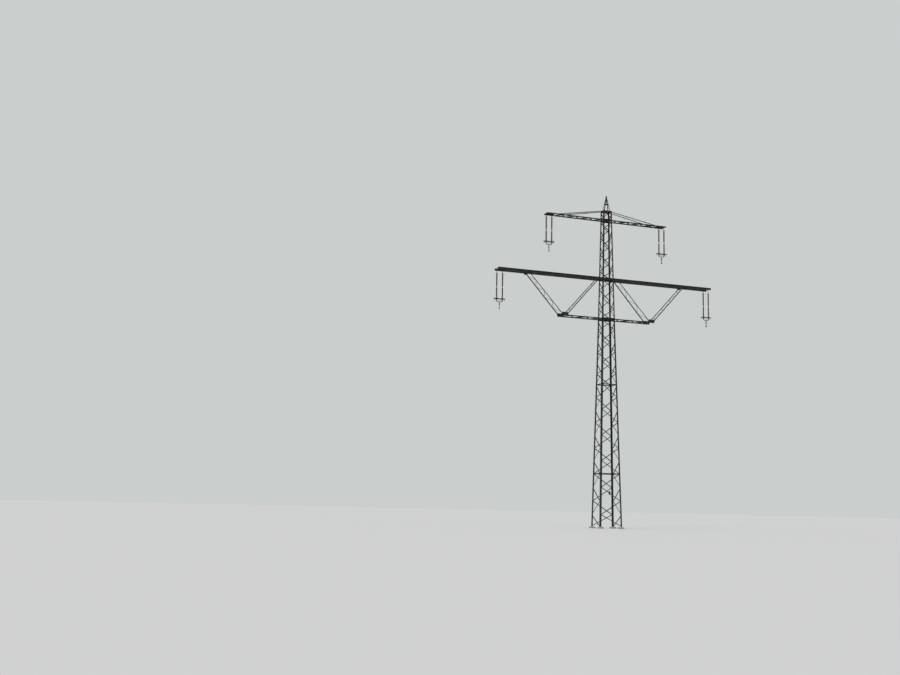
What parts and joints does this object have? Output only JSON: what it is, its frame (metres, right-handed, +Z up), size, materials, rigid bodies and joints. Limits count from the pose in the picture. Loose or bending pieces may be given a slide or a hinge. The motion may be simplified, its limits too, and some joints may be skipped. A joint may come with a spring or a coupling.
{
  "type": "lattice transmission pylon",
  "caption": "Self-supporting lattice steel pylon with braced crossarms, an earth-wire peak and double suspension insulator sets that swing on hanger pins.",
  "frame": {"origin": "on the ground plane, midway between the four legs, level with the underside of the foundation heads", "axes": "+X along the crossarms, +Y along the line, +Z up"},
  "size_m": [23.3744, 2.059, 31.93],
  "materials": {
    "galvanised_steel": "weathered grey-green coating over galvanised steel",
    "concrete": "rough cast concrete",
    "plate": "dull sheet metal, bare",
    "brown_porcelain": "brown glazed porcelain",
    "fitting_steel": "hot-dip galvanised, dull",
    "clamp_aluminium": "cast, dull"
  },
  "bodies": {
    "tower": {"foundation_heads": "concrete", "leg_front_left": "galvanised_steel", "leg_front_right": "galvanised_steel", "leg_back_right": "galvanised_steel", "leg_back_left": "galvanised_steel", "braces_front_lower": "galvanised_steel", "braces_front_upper": "galvanised_steel", "braces_right_lower": "galvanised_steel", "braces_right_upper": "galvanised_steel", "braces_back_lower": "galvanised_steel", "braces_back_upper": "galvanised_steel", "braces_left_lower": "galvanised_steel", "braces_left_upper": "galvanised_steel", "earth_wire_peak": "galvanised_steel", "main_arm_chords": "galvanised_steel", "main_arm_lacing": "galvanised_steel", "top_arm_chords": "galvanised_steel", "top_arm_lacing": "galvanised_steel", "top_arm_ties": "galvanised_steel", "bottom_arm_chords": "galvanised_steel", "bottom_arm_lacing": "galvanised_steel", "outer_strut_left": "galvanised_steel", "outer_strut_right": "galvanised_steel", "inner_strut_left": "galvanised_steel", "inner_strut_right": "galvanised_steel", "gusset_plates": "galvanised_steel", "string_hangers": "galvanised_steel", "bare_plate": "plate"},
    "suspension_set_main_left": {"insulators_main_left": "brown_porcelain", "string_fittings_main_left": "fitting_steel", "yoke_main_left": "fitting_steel", "conductor_clamps_main_left": "clamp_aluminium"},
    "suspension_set_main_right": {"insulators_main_right": "brown_porcelain", "string_fittings_main_right": "fitting_steel", "yoke_main_right": "fitting_steel", "conductor_clamps_main_right": "clamp_aluminium"},
    "suspension_set_top_left": {"insulators_top_left": "brown_porcelain", "string_fittings_top_left": "fitting_steel", "yoke_top_left": "fitting_steel", "conductor_clamps_top_left": "clamp_aluminium"},
    "suspension_set_top_right": {"insulators_top_right": "brown_porcelain", "string_fittings_top_right": "fitting_steel", "yoke_top_right": "fitting_steel", "conductor_clamps_top_right": "clamp_aluminium"}
  },
  "joints": [
    {"name": "swing_main_left", "type": "hinge", "parent": "tower", "child": "suspension_set_main_left", "pos_m": [-11.13, 0, 23.411], "axis": [1, 0, 0], "range_deg": [-45, 45]},
    {"name": "swing_main_right", "type": "hinge", "parent": "tower", "child": "suspension_set_main_right", "pos_m": [11.13, 0, 23.411], "axis": [1, 0, 0], "range_deg": [-45, 45]},
    {"name": "swing_top_left", "type": "hinge", "parent": "tower", "child": "suspension_set_top_left", "pos_m": [-6.125, 0, 29.37], "axis": [1, 0, 0], "range_deg": [-45, 45]},
    {"name": "swing_top_right", "type": "hinge", "parent": "tower", "child": "suspension_set_top_right", "pos_m": [6.125, 0, 29.37], "axis": [1, 0, 0], "range_deg": [-45, 45]}
  ]
}
